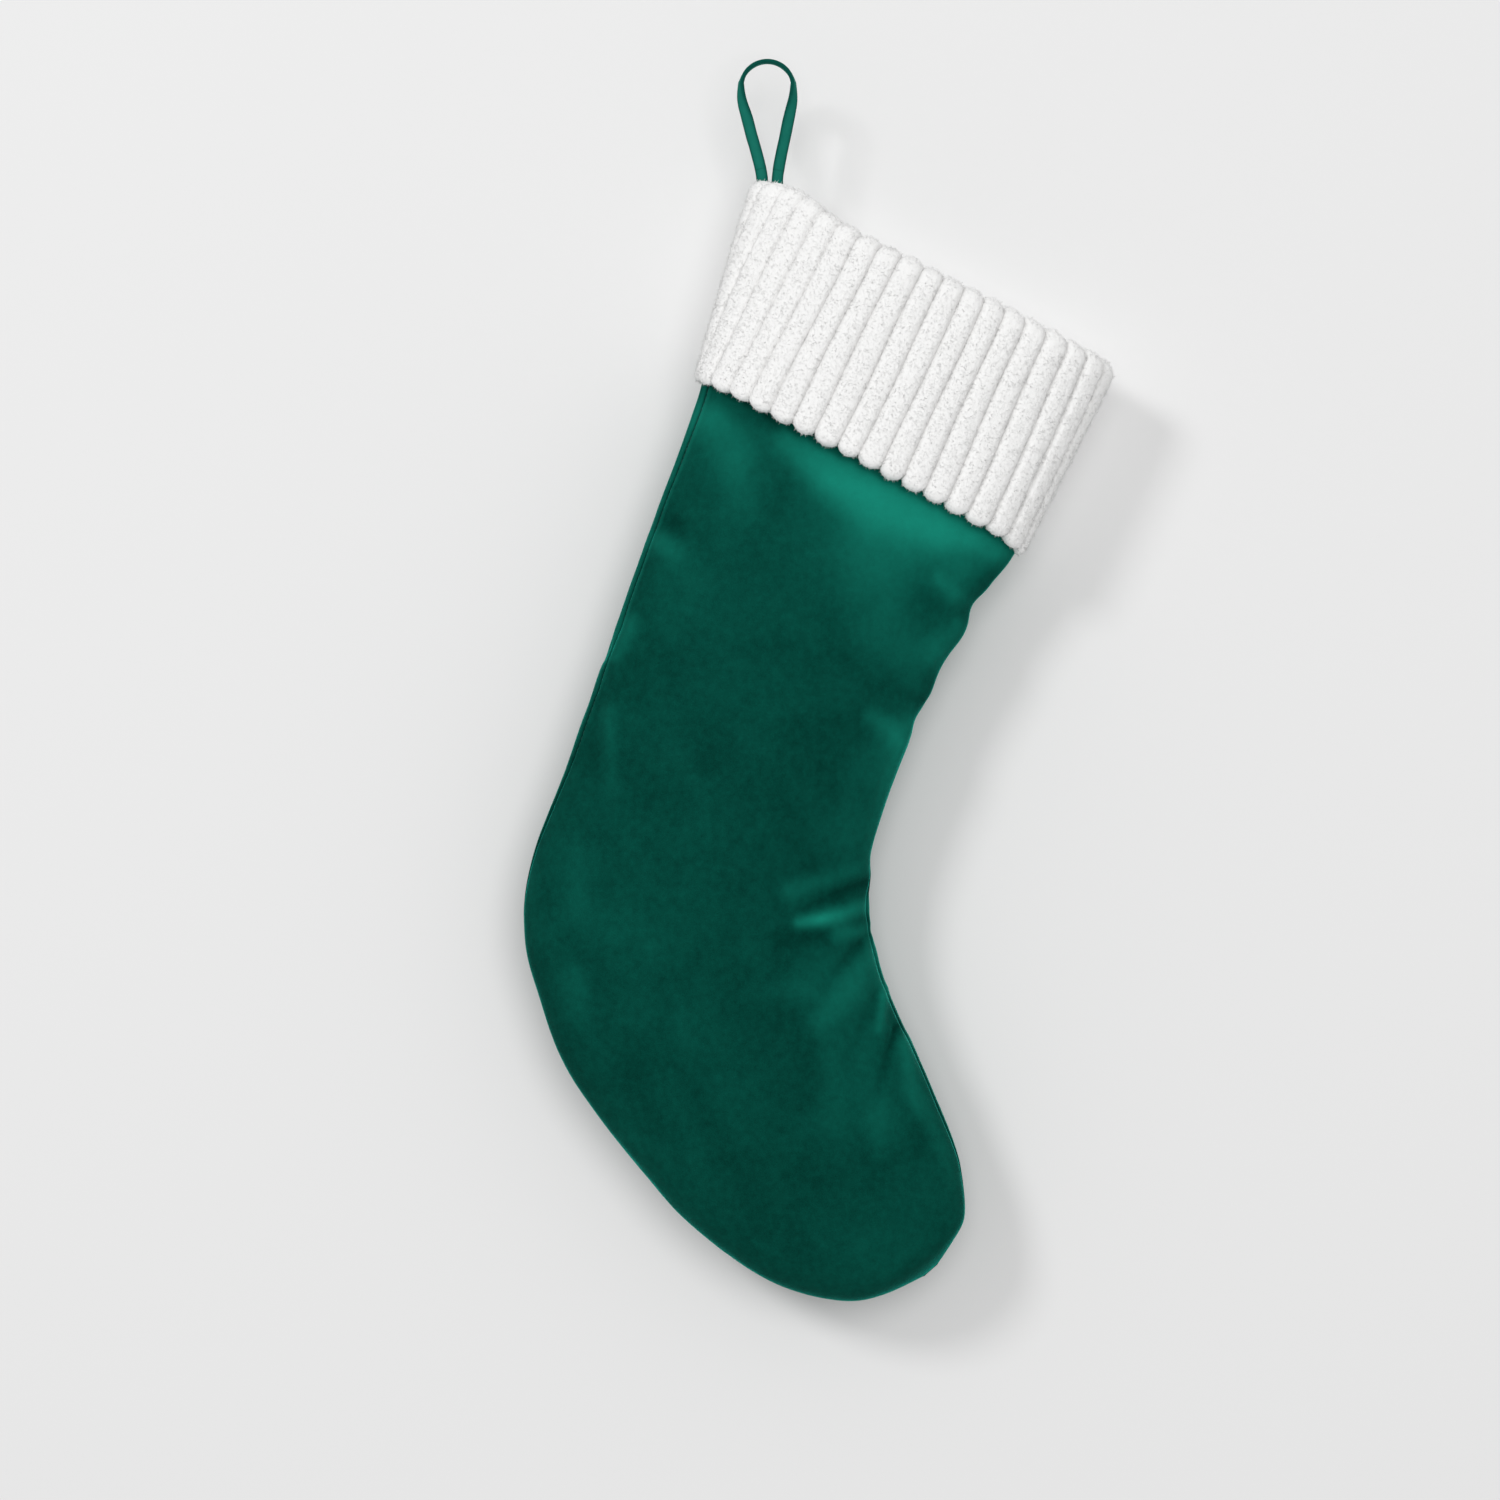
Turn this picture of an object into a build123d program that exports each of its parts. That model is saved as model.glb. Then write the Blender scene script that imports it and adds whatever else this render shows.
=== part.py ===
"""A lined velvet Christmas stocking with a ribbed plush cuff, hanging by its strap loop from a round peg.

Millimetres. +X is to the right of someone facing the stocking, +Y is towards the wall behind it, +Z is up.
The origin is on the axis of the peg that the loop hangs on, which runs along Y through the middle of the strap.
Every layer follows the same set of sections, each an ellipse that stands square to the XZ plane, so the seam
between the front and back panels lies in the plane y = 0.
"""

import os

from build123d import *

# Driving dimensions
PEG_RADIUS = 12.7
STRAP_WIDTH = 7.0
STRAP_THICKNESS = 2.4
VELVET = 1.2
LINING = 0.8
FACING = 3.0
FACING_DEPTH = 25.0
CUFF_BRIDGE = 5.0
SEAM_ALLOWANCE = 6.0
LAYER_GAP = 0.4
ALLOWANCE_DEPTH = 1.0
THREAD = 0.6
STITCH_INSET = 2.0
REACH = 60.0
OVERSHOOT = 2.0

# A section is (left x, left z, right x, right z, half depth along Y).
CUFF_TOP = (-11.5, -50.0, 183.0, -149.0, 33.0)
CUFF_HEM = (-41.5, -155.0, 133.5, -245.5, 40.0)
CUFF_WALL = 5.0
CUFF_DEPTH = 7.5
CUFF_SHARES = (0.0, 0.33, 0.66)

# The last two sections are this far apart, so a layer that is set in further than that ends in a single one,
# which is narrower and thinner by these amounts.
TOE_STEP = 3.0
TOE_NARROWING = 4.5
TOE_THINNING = 2.0

LEG_SECTIONS = [
    (-36.0, -159.0, 129.0, -244.0, 32.0),
    (-58.0, -220.0, 93.0, -299.0, 35.0),
    (-79.5, -283.0, 72.0, -345.0, 36.0),
    (-102.5, -346.0, 56.0, -392.0, 37.0),
    (-123.0, -404.0, 52.5, -422.0, 38.5),
    (-127.5, -439.0, 54.0, -437.0, 39.5),
    (-121.0, -471.0, 57.0, -452.0, 39.5),
    (-101.5, -518.0, 64.0, -474.0, 39.5),
    (-53.0, -581.0, 82.0, -516.0, 37.0),
    (-16.5, -612.5, 94.5, -545.0, 33.5),
    (12.5, -628.0, 101.0, -564.0, 28.5),
    (43.5, -634.0, 103.5, -588.0, 21.0),
    (65.0, -629.5, 99.0, -603.0, 12.5),
    (76.5, -624.5, 93.0, -611.5, 6.0),
]

# The strap's two strands run down from the peg, turn flat, and stand side by side at the rim of the cuff.
STRAND_X = (-2.6, 5.2)
STRAND_WIDTH_AT_RIM = 6.4
FOLD_PIVOT_Z = -38.0
TILT_PIVOT_Z = -46.5
FOLD_GAP = 2.6
TILT_GAP = 3.6
TAIL_END_Z = -76.0
TAIL_SLOT = 0.4
TACK_Z = (-66.0, -70.0)
TACK_WIDTH = 12.0


def section_plane(section):
    """The plane through a section's two edge points, square to XZ, with its normal up the leg."""
    left_x, left_z, right_x, right_z, _ = section
    across = Vector(right_x - left_x, 0, right_z - left_z)
    middle = Vector((left_x + right_x) / 2, 0, (left_z + right_z) / 2)
    return Plane(origin=middle, x_dir=across, z_dir=across.cross(Vector(0, 1, 0)))


def oval(section, width_inset=0.0, depth_inset=0.0, lift=0.0):
    """One section's ellipse, drawn in by the insets and lifted up the leg."""
    left_x, left_z, right_x, right_z, half_depth = section
    half_width = Vector(right_x - left_x, 0, right_z - left_z).length / 2
    with BuildSketch(section_plane(section).offset(lift)) as ellipse:
        Ellipse(half_width - width_inset, half_depth - depth_inset)
    return ellipse.sketch


def between(first, second, share):
    """The section that lies a share of the way from one section to another."""
    return tuple(a + (b - a) * share for a, b in zip(first, second))


def pouch(width_inset, depth_inset, drop=CUFF_BRIDGE):
    """The stocking's whole inside as one solid, drawn in by the insets, from a drop below the rim to the toe."""
    top, *under_cuff = [between(CUFF_TOP, CUFF_HEM, share) for share in CUFF_SHARES]
    cuff_width_inset, cuff_depth_inset = CUFF_WALL + width_inset, CUFF_DEPTH + depth_inset
    ovals = [oval(top, cuff_width_inset, cuff_depth_inset, OVERSHOOT)]
    ovals += [oval(section, cuff_width_inset, cuff_depth_inset) for section in under_cuff]
    ovals += [oval(section, width_inset, depth_inset) for section in LEG_SECTIONS[:-2]]
    if width_inset < TOE_STEP:
        ovals.append(oval(LEG_SECTIONS[-2], width_inset, depth_inset))
        ovals.append(oval(LEG_SECTIONS[-1], width_inset, depth_inset, width_inset))
    else:
        toe_width_inset, toe_lift = width_inset + TOE_NARROWING, width_inset - TOE_STEP
        ovals.append(oval(LEG_SECTIONS[-2], toe_width_inset, depth_inset + TOE_THINNING, toe_lift))
    with BuildPart() as solid:
        loft(ovals)
        split(bisect_by=section_plane(CUFF_TOP).offset(-drop), keep=Keep.BOTTOM)
    return solid.part


def side_block(side, start=0.0):
    """A block that covers the whole stocking on the front (-1) or back (1) side, from a depth outwards."""
    with BuildPart() as block:
        with BuildSketch(Plane.XZ.offset(-side * start)):
            with Locations((30, -320)):
                Rectangle(600, 900)
        extrude(amount=-side * (REACH - start))
    return block.part


def seam_block(half_depth):
    """A flat block that covers the whole stocking to both sides of the seam plane."""
    with BuildPart() as block:
        with BuildSketch(Plane.XZ):
            with Locations((30, -320)):
                Rectangle(600, 900)
        extrude(amount=half_depth, both=True)
    return block.part


def velvet_room(side):
    """What the velvet of one side encloses, outside the strip that its seam allowance takes up."""
    with BuildPart() as room:
        add(pouch(VELVET, VELVET, CUFF_BRIDGE - 1))
        add(side_block(side, ALLOWANCE_DEPTH), mode=Mode.INTERSECT)
    return room.part


def cuff_solid(inset=0.0):
    """The cuff's outer shape, drawn in by an inset, from the top fold to the hem."""
    with BuildPart() as solid:
        loft([oval(CUFF_TOP, inset, inset), oval(CUFF_HEM, inset, inset)])
    return solid.part


def tail_slot():
    """The slot at the heel-side corner of the mouth that the two ends of the strap are sewn into."""
    low_x = STRAND_X[0] - STRAND_WIDTH_AT_RIM / 2 - TAIL_SLOT
    high_x = STRAND_X[1] + STRAND_WIDTH_AT_RIM / 2 + TAIL_SLOT
    with BuildPart() as slot:
        with BuildSketch(Plane.XY.offset(TAIL_END_Z - TAIL_SLOT)):
            with Locations(((low_x + high_x) / 2, 0)):
                Rectangle(high_x - low_x, STRAP_THICKNESS + 2 * TAIL_SLOT)
        extrude(amount=FOLD_PIVOT_Z - TAIL_END_Z)
    return slot.part


def export(builder, name):
    """Writes one finished piece to its STEP file."""
    builder.part.label = name
    export_step(builder.part, f"parts/{name}.step")


os.makedirs("parts", exist_ok=True)

top_plane = section_plane(CUFF_TOP)
lining_width_inset = SEAM_ALLOWANCE + LAYER_GAP + THREAD
lining_depth_inset = VELVET + LAYER_GAP
lining_top = FACING_DEPTH + THREAD
facing_width_inset = SEAM_ALLOWANCE + LAYER_GAP
facing_depth_inset = VELVET + LAYER_GAP
mouth_width_inset = facing_width_inset + FACING
mouth_depth_inset = facing_depth_inset + FACING

for name, side in (("velvet_front", -1), ("velvet_back", 1)):
    # Half of the velvet shell, with the seam allowance that is turned in along its edge.
    with BuildPart() as velvet:
        add(pouch(0, 0))
        add(side_block(side), mode=Mode.INTERSECT)
        add(velvet_room(side), mode=Mode.SUBTRACT)
        add(pouch(SEAM_ALLOWANCE, VELVET, CUFF_BRIDGE - 1), mode=Mode.SUBTRACT)
        add(tail_slot(), mode=Mode.SUBTRACT)
    export(velvet, name)

for name, side in (("lining_front", -1), ("lining_back", 1)):
    # Half of the lining, which starts where the cuff's facing ends inside the mouth.
    with BuildPart() as lining:
        add(pouch(lining_width_inset, lining_depth_inset, lining_top))
        add(side_block(side), mode=Mode.INTERSECT)
        add(pouch(lining_width_inset + LINING, lining_depth_inset + LINING, lining_top - 1), mode=Mode.SUBTRACT)
    export(lining, name)

# The stitches that join the two velvet panels, one row on each side of their allowances.
with BuildPart() as shell_seam_thread:
    add(pouch(STITCH_INSET, VELVET, lining_top))
    add(seam_block(ALLOWANCE_DEPTH + THREAD), mode=Mode.INTERSECT)
    add(seam_block(ALLOWANCE_DEPTH), mode=Mode.SUBTRACT)
    add(pouch(STITCH_INSET + THREAD, VELVET, lining_top - 1), mode=Mode.SUBTRACT)
export(shell_seam_thread, "shell_seam_thread")

# The stitches that join the two lining panels, on the side that faces the velvet.
with BuildPart() as lining_seam_thread:
    add(pouch(lining_width_inset - THREAD, lining_depth_inset, lining_top))
    add(seam_block(THREAD / 2), mode=Mode.INTERSECT)
    add(pouch(lining_width_inset, lining_depth_inset, lining_top - 1), mode=Mode.SUBTRACT)
export(lining_seam_thread, "lining_seam_thread")

for name, side in (("cuff_front", -1), ("cuff_back", 1)):
    # Half of the plush cuff: the ribbed flap outside the velvet and the fold that goes over the rim.
    with BuildPart() as cuff:
        add(cuff_solid())
        add(side_block(side, THREAD / 2), mode=Mode.INTERSECT)
        add(pouch(-LAYER_GAP, -LAYER_GAP, CUFF_BRIDGE - LAYER_GAP), mode=Mode.SUBTRACT)
        add(pouch(mouth_width_inset, mouth_depth_inset, -1), mode=Mode.SUBTRACT)
        add(tail_slot(), mode=Mode.SUBTRACT)
    export(cuff, name)

# The cuff's two side seams.
with BuildPart() as cuff_seam_thread:
    add(cuff_solid(STITCH_INSET))
    add(seam_block(THREAD / 2), mode=Mode.INTERSECT)
    add(cuff_solid(STITCH_INSET + THREAD), mode=Mode.SUBTRACT)
    add(pouch(-LAYER_GAP, -LAYER_GAP, -1), mode=Mode.SUBTRACT)
export(cuff_seam_thread, "cuff_seam_thread")

for name, side in (("facing_front", -1), ("facing_back", 1)):
    # Half of the facing: the same plush, carried on down inside the mouth.
    with BuildPart() as facing:
        add(pouch(facing_width_inset, facing_depth_inset, CUFF_BRIDGE - LAYER_GAP))
        add(side_block(side), mode=Mode.INTERSECT)
        add(pouch(mouth_width_inset, mouth_depth_inset, -1), mode=Mode.SUBTRACT)
        add(tail_slot(), mode=Mode.SUBTRACT)
        split(bisect_by=top_plane.offset(-FACING_DEPTH), keep=Keep.TOP)
    export(facing, name)

# The stitches that join the facing to the lining, all the way round inside the mouth.
with BuildPart() as mouth_seam_thread:
    add(pouch(lining_width_inset, lining_depth_inset, FACING_DEPTH - 1))
    add(pouch(lining_width_inset + THREAD, lining_depth_inset + THREAD, FACING_DEPTH - 2), mode=Mode.SUBTRACT)
    split(bisect_by=top_plane.offset(-FACING_DEPTH), keep=Keep.BOTTOM)
    split(bisect_by=top_plane.offset(-FACING_DEPTH - THREAD), keep=Keep.TOP)
export(mouth_seam_thread, "mouth_seam_thread")

# The strap: a half ring round the peg, standing edge-on, and two strands that turn flat towards the cuff.
strand_radius = PEG_RADIUS + STRAP_THICKNESS / 2
with BuildPart() as hanging_loop:
    with BuildSketch(Plane.XZ) as ring:
        Circle(PEG_RADIUS + STRAP_THICKNESS)
        Circle(PEG_RADIUS, mode=Mode.SUBTRACT)
        with Locations((0, -PEG_RADIUS)):
            Rectangle(4 * PEG_RADIUS, 2 * PEG_RADIUS, mode=Mode.SUBTRACT)
    extrude(amount=STRAP_WIDTH / 2, both=True)
    for start_x, end_x in zip((-strand_radius, strand_radius), STRAND_X):
        with BuildSketch(Plane.XY):
            with Locations((start_x, 0)):
                Rectangle(STRAP_THICKNESS, STRAP_WIDTH)
        with BuildSketch(Plane.XY.offset(FOLD_PIVOT_Z + FOLD_GAP / 2)):
            with Locations((end_x, 0)):
                Rectangle(STRAND_WIDTH_AT_RIM, STRAP_THICKNESS)
        loft()
export(hanging_loop, "hanging_loop")

# The short length of both strands between the place where they fold and the place where they turn.
with BuildPart() as loop_neck:
    with BuildSketch(Plane.XY.offset(TILT_PIVOT_Z + TILT_GAP / 2)):
        with Locations(*[(x, 0) for x in STRAND_X]):
            Rectangle(STRAND_WIDTH_AT_RIM, STRAP_THICKNESS)
    extrude(amount=FOLD_PIVOT_Z - TILT_PIVOT_Z - (FOLD_GAP + TILT_GAP) / 2)
export(loop_neck, "loop_neck")

# The ends of both strands, down inside the corner of the mouth.
with BuildPart() as loop_tails:
    with BuildSketch(Plane.XY.offset(TAIL_END_Z)):
        with Locations(*[(x, 0) for x in STRAND_X]):
            Rectangle(STRAND_WIDTH_AT_RIM, STRAP_THICKNESS)
    extrude(amount=TILT_PIVOT_Z - TILT_GAP / 2 - TAIL_END_Z)
export(loop_tails, "loop_tails")

# The rows of stitches that tack the strap's ends to the cuff, in front and behind.
with BuildPart() as loop_tack_thread:
    for z in TACK_Z:
        with Locations(*[(sum(STRAND_X) / 2, y * (STRAP_THICKNESS + TAIL_SLOT) / 2, z) for y in (-1, 1)]):
            Box(TACK_WIDTH, TAIL_SLOT, THREAD)
export(loop_tack_thread, "loop_tack_thread")
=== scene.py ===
import math

import bmesh
import bpy
import numpy as np
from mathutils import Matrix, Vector, noise


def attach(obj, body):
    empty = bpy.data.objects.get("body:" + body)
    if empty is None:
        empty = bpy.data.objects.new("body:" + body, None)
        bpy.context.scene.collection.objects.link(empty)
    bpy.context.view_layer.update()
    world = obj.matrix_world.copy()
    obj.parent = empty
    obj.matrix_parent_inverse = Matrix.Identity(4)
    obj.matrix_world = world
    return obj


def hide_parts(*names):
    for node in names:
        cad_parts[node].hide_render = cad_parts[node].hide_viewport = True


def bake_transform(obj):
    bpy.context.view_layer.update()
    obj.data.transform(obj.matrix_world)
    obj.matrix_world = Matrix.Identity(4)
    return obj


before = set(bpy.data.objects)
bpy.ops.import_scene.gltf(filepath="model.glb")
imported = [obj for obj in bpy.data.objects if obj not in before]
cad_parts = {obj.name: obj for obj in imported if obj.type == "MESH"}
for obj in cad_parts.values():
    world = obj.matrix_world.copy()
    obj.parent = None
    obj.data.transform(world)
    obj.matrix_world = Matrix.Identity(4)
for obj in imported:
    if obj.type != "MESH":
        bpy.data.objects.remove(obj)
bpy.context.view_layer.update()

rng = np.random.default_rng(20)

# Lengths are in millimetres until object_from makes metres of them. x and z lie in the seam plane,
# as in the CAD part, and y runs to the wall.
MM = 0.001

# --------------------------------------------------------------------------------------------------
# Driving shapes

# The leg: rows across it from under the cuff to the toe, each (left x, left z, right x, right z, half depth).
LEG_ROWS = [
    (-26.0, -112.0, 152.0, -201.0, 25.0),
    (-36.0, -159.0, 129.0, -244.0, 29.5),
    (-58.0, -220.0, 93.0, -299.0, 35.5),
    (-79.5, -283.0, 73.0, -345.0, 36.5),
    (-102.5, -346.0, 56.0, -392.0, 37.0),
    (-123.0, -404.0, 52.5, -422.0, 38.0),
    (-127.5, -439.0, 54.0, -437.0, 39.0),
    (-121.0, -471.0, 57.0, -452.0, 39.5),
    (-101.5, -518.0, 64.5, -474.0, 39.5),
    (-53.0, -581.0, 83.0, -516.0, 37.0),
    (-16.5, -612.5, 95.5, -545.0, 33.5),
    (12.5, -628.0, 101.5, -564.0, 28.5),
    (43.5, -634.0, 103.5, -588.0, 21.0),
    (65.0, -629.0, 98.0, -600.5, 12.5),
    (76.5, -624.3, 92.0, -609.0, 6.0),
    (82.4, -620.3, 88.4, -615.0, 1.5),
]
ROW_SPACING = 5.0     # between rows of the simulated grid
ACROSS = 40           # steps across a panel in the simulated grid
FINER = 3             # steps of the final grid for each of the simulated one's
VELVET = 1.2          # thickness
SEAM_DIP = 1.2        # how far the seam is drawn in
MOST_DEPTH = 40.5     # half depth of the filled leg
LINING = 0.5          # thickness

# The cuff's top and hem, in the same form.
CUFF_TOP = (-11.5, -50.0, 183.0, -149.0, 33.0)
CUFF_HEM = (-41.5, -155.0, 133.5, -245.5, 40.0)
CUFF_LENGTH = 108.0

# Waves of the toe-side edge: (z, how far out, reach).
EDGE_WAVES = [
    (-259, -1.5, 7), (-271, -3.6, 7), (-287, 1.4, 8), (-316, 1.4, 8), (-331, -1.2, 6), (-413, 1.6, 7),
]

# Folds, dents and brushed places of the velvet, each a line of (x, z, width, height, lighter or darker
# colour). The colour is partly the velvet's brushed nap and partly painted light: painted shade in creases
# and dents, painted highlights on ridges and on slopes that face the light.
STROKES = [
    # under the cuff, starting with a line of painted shade just below the hem
    [(-36, -160, 4.5, 0, -0.06), (-8, -174, 4, 0, -0.04), (40, -196, 4, 0, -0.05), (122, -239, 4, 0, -0.05)],
    [(-30, -174, 11, 1, 0.26), (-18, -188, 13, 0.7, 0.13)],
    [(-16, -202, 12, 0.7, 0.1), (-12, -214, 12, 0.5, 0.07)],
    [(11, -186, 8, 0.3, 0.3), (34, -203, 13, 1, 0.56), (60, -218, 19, 1.7, 0.62),
     (92, -231, 15, 1.2, 0.58), (120, -241, 9, 0.3, 0.36)],
    [(4, -212, 9, -0.7, -0.01), (2, -228, 9, -0.4, -0.01)],
    [(26, -240, 12, 0.3, 0.05), (70, -248, 15, 0.4, 0.12), (98, -252, 9, 0.3, 0.10)],
    [(54, -262, 18, 0.4, 0.12), (66, -292, 15, 0.3, 0.13)],
    [(58, -350, 14, 0.2, 0.09), (42, -392, 15, 0.2, 0.07)],
    # toe side, down to the ankle
    [(90, -258, 5, 1.27, 0.18), (97, -265, 5, 0.85, 0.18)],
    [(106, -274, 3.2, -1.1, -0.05), (97, -276, 3.5, -0.6, -0.03), (84, -277, 7, -0.2, -0.02)],
    # painted light along the toe-side edge, where the leg turns away from the light
    [(104, -256, 9, 0, 0.07), (92, -288, 12, 0, 0.07), (76, -312, 12, 0, 0.07), (66, -360, 12, 0, 0.06)],
    [(98, -244, 6, -0.59, -0.03)],
    [(99, -283, 6, 0.85, 0.13), (88, -296, 8, 0.85, 0.13)],
    [(85, -321, 2.8, -1.1, -0.08), (72, -318, 3, -0.6, -0.05), (54, -314, 4, -0.3, -0.02)],
    [(78, -331, 4.5, 0.9, 0.14), (68, -338, 7.5, 1.6, 0.26), (55, -329, 5, 0.7, 0.16)],
    [(70, -344, 5, 0.3, 0.14), (60, -378, 5.5, 0.3, 0.14), (55, -400, 5, 0.3, 0.16)],
    # heel side
    [(-52, -228, 6, -1.87, -0.07), (-44, -231, 5, -1.02, -0.04)],
    [(-56, -238, 6, 1.19, 0.2), (-48, -244, 6, 0.68, 0.13)],
    [(-45, -256, 12, 0.42, 0.07), (-42, -268, 12, 0.26, 0.04)],
    [(-71, -280, 5, 0.68, 0.16), (-79, -297, 5, 0.68, 0.13)],
    [(-87, -318, 5, -1.02, -0.02), (-92, -345, 7, -1.53, -0.03), (-92, -372, 7, -0.85, -0.01)],
    [(-83, -325, 4, 0.68, 0.07), (-80, -365, 5, 0.42, 0.05)],
    [(-98, -400, 7, 0.4, 0.05), (-99, -430, 7, 0.4, 0.04)],
    [(-78, -425, 30, 0, 0.02)],
    [(-99, -462, 8, 0.68, 0.08), (-99, -482, 8, 0.42, 0.05)],
    # ankle
    [(12, -419, 5, 1.4, 0.15), (32, -413, 5, 1.2, 0.1), (54, -406, 4, 0.7, 0.08)],
    [(18, -429, 1.8, -0.6, -0.03), (36, -421, 2.2, -1.2, -0.05), (54, -414, 2.6, -1.3, -0.06)],
    [(17, -435, 3.4, 1.7, 0.3), (28, -433.5, 4, 2.4, 0.6),
     (40, -431, 4.6, 2.1, 0.36), (55, -426, 4.8, 1.6, 0.22)],
    [(7, -444, 5, -1.87, -0.05), (30, -442.5, 4.5, -1.19, -0.04)],
    [(38, -441, 5, 0.7, 0.2), (51, -440, 4, 0.4, 0.2)],
    [(38, -462, 17, 0, 0.08), (50, -500, 14, 0, 0.07), (62, -535, 15, 0, 0.06)],
    [(56, -438, 2.2, -1.6, -0.06), (44, -451, 2.6, -1.4, -0.06), (30, -468, 3.4, -0.6, -0.03)],
    [(56, -451, 4.5, 1.1, 0.14), (43, -470, 8, 1, 0.15), (27, -487, 7, 0.5, 0.12)],
    [(54, -446, 3.2, 0.68, 0.13), (60, -473, 3.2, 0.68, 0.13)],
    [(58, -471, 2.2, -1.2, -0.05), (46, -496, 3.5, -0.8, -0.03), (37, -522, 5, -0.3, -0.01)],
    [(62, -470, 2.4, 1.19, 0.23), (58, -491, 3, 1.02, 0.16)],
    [(67, -490, 2, -1.9, -0.1), (61, -510, 2.4, -1.4, -0.07), (56, -531, 3, -0.5, -0.02)],
    [(72, -498, 4, 1.4, 0.22), (75, -520, 6, 0.7, 0.18),
     (88, -545, 5, 0.3, 0.10), (98, -570, 4.5, 0.2, 0.08)],
    # foot
    [(57, -524, 6, 0.3, 0.03), (57, -538, 6.5, 0.4, 0.07), (59, -552, 6, 0.2, 0.02)],
    [(33, -496, 7, 0.25, 0.03), (34, -522, 8, 0.5, 0.07), (35, -552, 9, 0.2, 0.02)],
    [(-6, -471, 6, 0.25, 0.03), (20, -469, 7, 0.35, 0.07)],
    [(82, -538, 8, -0.3, -0.02)],
    [(88, -586, 16, 0.26, 0.04), (60, -604, 20, 0.26, 0.04)],
]

SIMULATED = {"mass": 0.05, "tension": 60.0, "shear": 12.0, "bending": 12.0, "pressure": 7.0, "gravity": 0.15}
SIMULATED_FRAMES = 36


# --------------------------------------------------------------------------------------------------
# Small helpers

def object_from(name, points, faces):
    """A mesh object from points in millimetres."""
    mesh = bpy.data.meshes.new(name)
    mesh.from_pydata((np.asarray(points) * MM).tolist(), [], faces)
    mesh.update()
    mesh.polygons.foreach_set("use_smooth", [True] * len(mesh.polygons))
    obj = bpy.data.objects.new(name, mesh)
    bpy.context.scene.collection.objects.link(obj)
    return obj


def grid_faces(rows, cols, flip=False, wrap=False):
    """Faces of a grid of points in row order, closed round its columns if it wraps."""
    faces = []
    for r in range(rows - 1):
        for c in range(cols if wrap else cols - 1):
            n = (c + 1) % cols
            quad = (r * cols + c, (r + 1) * cols + c, (r + 1) * cols + n, r * cols + n)
            faces.append(quad[::-1] if flip else quad)
    return faces


def smooth_line(points, steps):
    """A Catmull-Rom curve through points of any dimension, with a number of steps in each span."""
    p = np.array(points, float)
    p = np.concatenate([2 * p[:1] - p[1:2], p, 2 * p[-1:] - p[-2:-1]])
    t = np.linspace(0, 1, steps, endpoint=False).reshape((-1,) + (1,) * (p.ndim - 1))
    out = []
    for a, b, c, d in zip(p[:-3], p[1:-2], p[2:-1], p[3:]):
        square, cube = 2 * a - 5 * b + 4 * c - d, 3 * b - a - 3 * c + d
        out.append(0.5 * (2 * b + (c - a) * t + square * t ** 2 + cube * t ** 3))
    return np.concatenate(out + [p[-2:-1]])


def distances(line):
    """How far along a line of points each of them lies."""
    return np.concatenate([[0], np.cumsum(np.linalg.norm(np.diff(line, axis=0), axis=1))])


def taken_at(line, along, at):
    """The line's values at new distances, from its own distances along."""
    return np.stack([np.interp(at, along, line[:, k]) for k in range(line.shape[1])], 1)


def even(points, spacing, middle=lambda p: p):
    """The curve resampled at about even steps of its middle line."""
    along = distances(middle(points))
    return taken_at(points, along, np.linspace(0, along[-1], int(round(along[-1] / spacing)) + 1))


def row_middles(rows):
    """Middle points of rows that start with their left and right ends."""
    return (rows[:, :2] + rows[:, 2:4]) / 2


def blurred(values, width):
    """Values averaged along their first axis with a bell of that width in steps, ends held."""
    reach = int(3 * width)
    kernel = np.exp(-0.5 * (np.arange(-reach, reach + 1) / width) ** 2)
    kernel /= kernel.sum()
    padded = np.concatenate([np.repeat(values[:1], reach, 0), values, np.repeat(values[-1:], reach, 0)])
    return np.stack([np.convolve(padded[:, k], kernel, "valid") for k in range(values.shape[1])], 1)


def unit(vectors):
    """The vectors at length one."""
    return vectors / np.maximum(np.linalg.norm(vectors, axis=-1), 1e-9)[..., None]


def section(left_x, left_z, right_x, right_z):
    """(middle, unit vector across, unit vector up the leg, half width) of a row."""
    across = np.array([right_x - left_x, 0, right_z - left_z])
    half = np.linalg.norm(across) / 2
    across = across / (2 * half)
    up = np.array([-across[2], 0, across[0]])
    return np.array([(left_x + right_x) / 2, 0, (left_z + right_z) / 2]), across, up, half


def wander(points, scale, seed):
    """Smooth noise from -1 to 1 at each point, in lumps of about that size."""
    offset = Vector((seed * 7.3, seed * 3.1, seed * 5.7))
    return np.array([noise.noise(Vector(p) / scale + offset) for p in points])


def joined(name, parts):
    """One object of several (points, faces) parts."""
    points, faces, base = [], [], 0
    for p, f in parts:
        points.append(p)
        faces += [tuple(i + base for i in face) for face in f]
        base += len(p)
    return object_from(name, np.concatenate(points), faces)


def recalculated(obj):
    """The object, with its faces turned outward."""
    mesh = bmesh.new()
    mesh.from_mesh(obj.data)
    bmesh.ops.recalc_face_normals(mesh, faces=mesh.faces)
    mesh.to_mesh(obj.data)
    mesh.free()
    return obj


def normals_of(grid, sign):
    """Outward unit normals of a grid."""
    return unit(np.cross(np.gradient(grid, axis=0), np.gradient(grid, axis=1)) * sign)


def float_attribute(obj, name, values):
    """A number for each point of a mesh that its material reads."""
    layer = obj.data.attributes.new(name, "FLOAT", "POINT")
    layer.data.foreach_set("value", np.asarray(values, np.float32))


# --------------------------------------------------------------------------------------------------
# Velvet shell

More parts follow.
